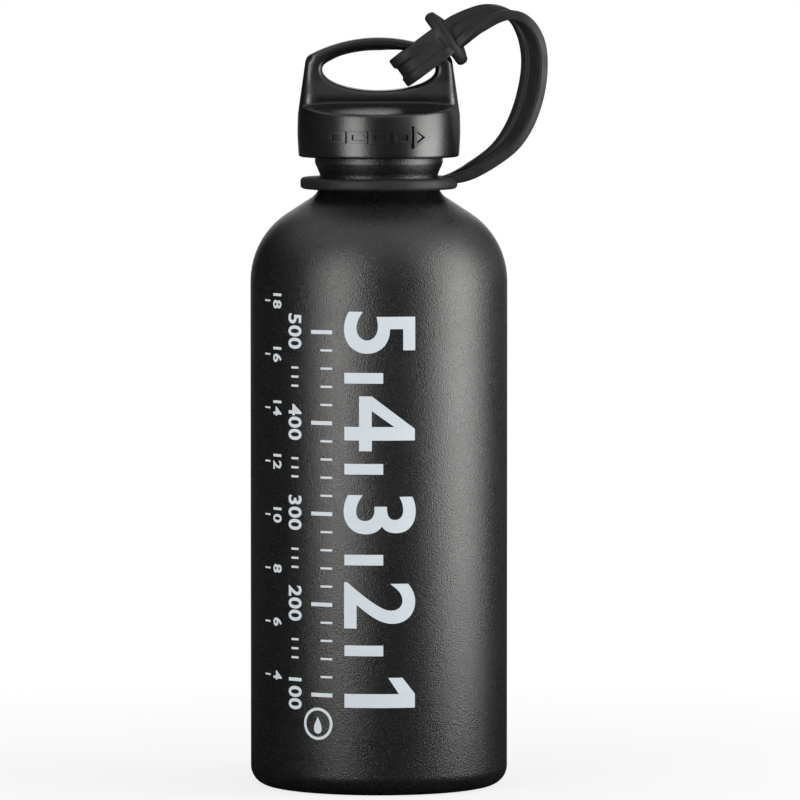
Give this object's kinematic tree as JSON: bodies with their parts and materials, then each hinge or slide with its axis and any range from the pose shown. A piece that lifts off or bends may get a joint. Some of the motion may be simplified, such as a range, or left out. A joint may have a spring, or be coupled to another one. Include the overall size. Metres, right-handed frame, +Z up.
{
  "type": "camping fuel bottle",
  "caption": "Slim metal fuel bottle with a round shoulder, push-and-turn screw cap with loop handle, and a twisted rubber lanyard from neck to cap.",
  "frame": {"origin": "middle of the base ring, on the surface that the bottle stands on", "axes": "+Z up along the bottle's axis, +X to the side where the lanyard stands out, handle of the cap in the XZ plane"},
  "size_m": [0.0844, 0.073, 0.2222],
  "materials": {
    "bottle_coating": "black powder coat, fine texture",
    "cap_plastic": "satin moulded",
    "plug_plastic": "satin moulded",
    "seal_rubber": "matt",
    "spring_steel": "drawn wire",
    "lanyard_rubber": "matt"
  },
  "bodies": {
    "bottle": {"bottle_shell": "bottle_coating"},
    "lanyard_ring": {"neck_ring": "lanyard_rubber"},
    "strap": {"lanyard_strap": "lanyard_rubber"},
    "plug": {"cap_plug": "plug_plastic", "plug_seal": "seal_rubber", "lock_spring": "spring_steel", "lanyard_cap_loop": "lanyard_rubber"},
    "cap": {"cap_outer_shell": "cap_plastic"}
  },
  "joints": [
    {"name": "cap_turn", "type": "hinge", "parent": "bottle", "child": "lanyard_ring", "pos_m": [0, 0, 0.171], "axis": [0, 0, 1], "range_deg": [0, 990]},
    {"name": "cap_rise", "type": "slide", "parent": "lanyard_ring", "child": "strap", "axis": [0, 0, 1], "range_m": [0, 0.00826], "deforming": ["lanyard_strap"]},
    {"name": "cap_lift", "type": "slide", "parent": "strap", "child": "plug", "axis": [0, 0, 1], "range_m": [0, 0.02]},
    {"name": "child_lock_push", "type": "slide", "parent": "plug", "child": "cap", "axis": [0, 0, 1], "range_m": [-0.0016, 0], "stiffness_N_per_m": 4000, "springref_m": 0.002, "deforming": ["lock_spring"]}
  ],
  "couplings": [
    {"joint": "cap_rise", "follows": "cap_turn", "m_per_rad": 0.00047746}
  ]
}
